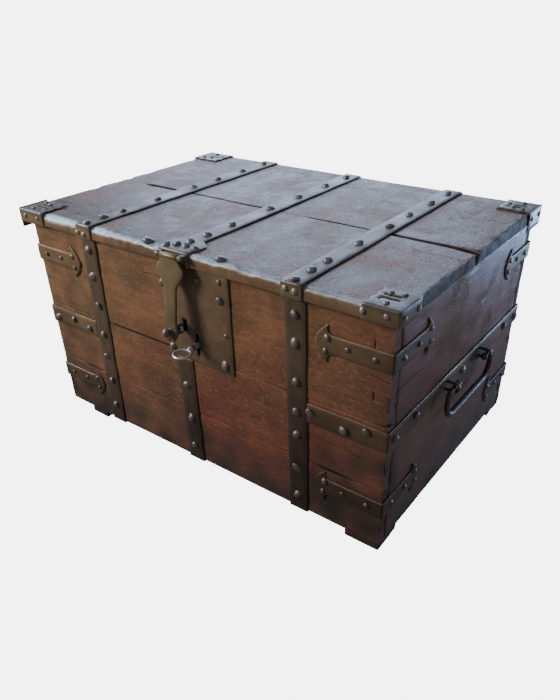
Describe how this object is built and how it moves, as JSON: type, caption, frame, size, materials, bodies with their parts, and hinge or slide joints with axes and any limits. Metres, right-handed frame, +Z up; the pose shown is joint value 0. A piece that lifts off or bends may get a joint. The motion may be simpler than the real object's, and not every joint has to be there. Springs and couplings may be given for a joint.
{
  "type": "iron strongbox",
  "caption": "Oak plank chest bound with iron straps, bands and corner brackets; strap-hinged lid, hasp, turning key with sliding lock bolt, and bail handles at both ends.",
  "frame": {"origin": "middle of the footprint on the floor, key bow and hinges included", "axes": "+X to the right along the chest, +Y to the hinges at the back, +Z up"},
  "size_m": [0.7506, 0.5476, 0.4026],
  "materials": {
    "oak": "old waxed oak, worn and darkened",
    "oak_inside": "bare oak, dry",
    "iron": "hammered wrought iron, brown with age",
    "steel": "iron polished by handling"
  },
  "bodies": {
    "carcass": {"front_lower_board": "oak", "front_middle_board": "oak", "front_upper_board": "oak", "back_lower_board": "oak", "back_upper_board": "oak", "left_lower_board": "oak", "left_upper_board": "oak", "right_lower_board": "oak", "right_upper_board": "oak", "bottom_front_board": "oak_inside", "bottom_back_board": "oak_inside", "foot_front_left": "oak", "foot_front_right": "oak", "foot_back_left": "oak", "foot_back_right": "oak", "body_strap_left": "iron", "body_strap_centre": "iron", "body_strap_right": "iron", "hinge_pin_left": "iron", "hinge_pin_centre": "iron", "hinge_pin_right": "iron", "middle_band_left": "iron", "middle_band_right": "iron", "bracket_lower_front_left": "iron", "bracket_lower_front_right": "iron", "bracket_lower_back_left": "iron", "bracket_lower_back_right": "iron", "bracket_upper_front_left": "iron", "bracket_upper_front_right": "iron", "bracket_upper_back_left": "iron", "bracket_upper_back_right": "iron", "lock_plate": "iron", "lock_case": "iron", "handle_eye_left_front": "iron", "handle_eye_left_back": "iron", "handle_eye_right_front": "iron", "handle_eye_right_back": "iron"},
    "lid": {"lid_front_board": "oak", "lid_back_board": "oak", "lid_batten_left": "oak_inside", "lid_batten_right": "oak_inside", "lid_strap_left": "iron", "lid_strap_centre": "iron", "lid_strap_right": "iron", "lid_bracket_front_left": "iron", "lid_bracket_front_right": "iron", "lid_bracket_back_left": "iron", "lid_bracket_back_right": "iron", "lid_stud_left": "iron", "lid_stud_right": "iron", "hasp_pin": "iron"},
    "hasp": {"hasp": "iron", "hasp_staple": "iron"},
    "bolt": {"lock_bolt": "steel"},
    "key": {"key": "steel"},
    "handle_left": {"handle_left": "iron"},
    "handle_right": {"handle_right": "iron"}
  },
  "joints": [
    {"name": "lid_open", "type": "hinge", "parent": "carcass", "child": "lid", "pos_m": [0, 0.26675, 0.378], "axis": [-1, 0, 0], "range_deg": [0, 105]},
    {"name": "hasp_swing", "type": "hinge", "parent": "lid", "child": "hasp", "pos_m": [-0.0021, -0.23855, 0.3886], "axis": [-1, 0, 0], "range_deg": [-7.1, 180]},
    {"name": "key_turn", "type": "hinge", "parent": "carcass", "child": "key", "pos_m": [0.022, -0.22125, 0.2466], "axis": [0, -1, 0], "range_deg": [0, 90]},
    {"name": "bolt_slide", "type": "slide", "parent": "carcass", "child": "bolt", "axis": [-1, 0, 0], "range_m": [0, 0.017]},
    {"name": "handle_left_swing", "type": "hinge", "parent": "carcass", "child": "handle_left", "pos_m": [-0.3663, 0.01775, 0.20092], "axis": [0, 1, 0], "range_deg": [-12, 190]},
    {"name": "handle_right_swing", "type": "hinge", "parent": "carcass", "child": "handle_right", "pos_m": [0.3663, 0.01775, 0.20092], "axis": [0, -1, 0], "range_deg": [-12, 190]}
  ],
  "couplings": [
    {"joint": "bolt_slide", "follows": "key_turn", "m_per_rad": 0.0108}
  ]
}
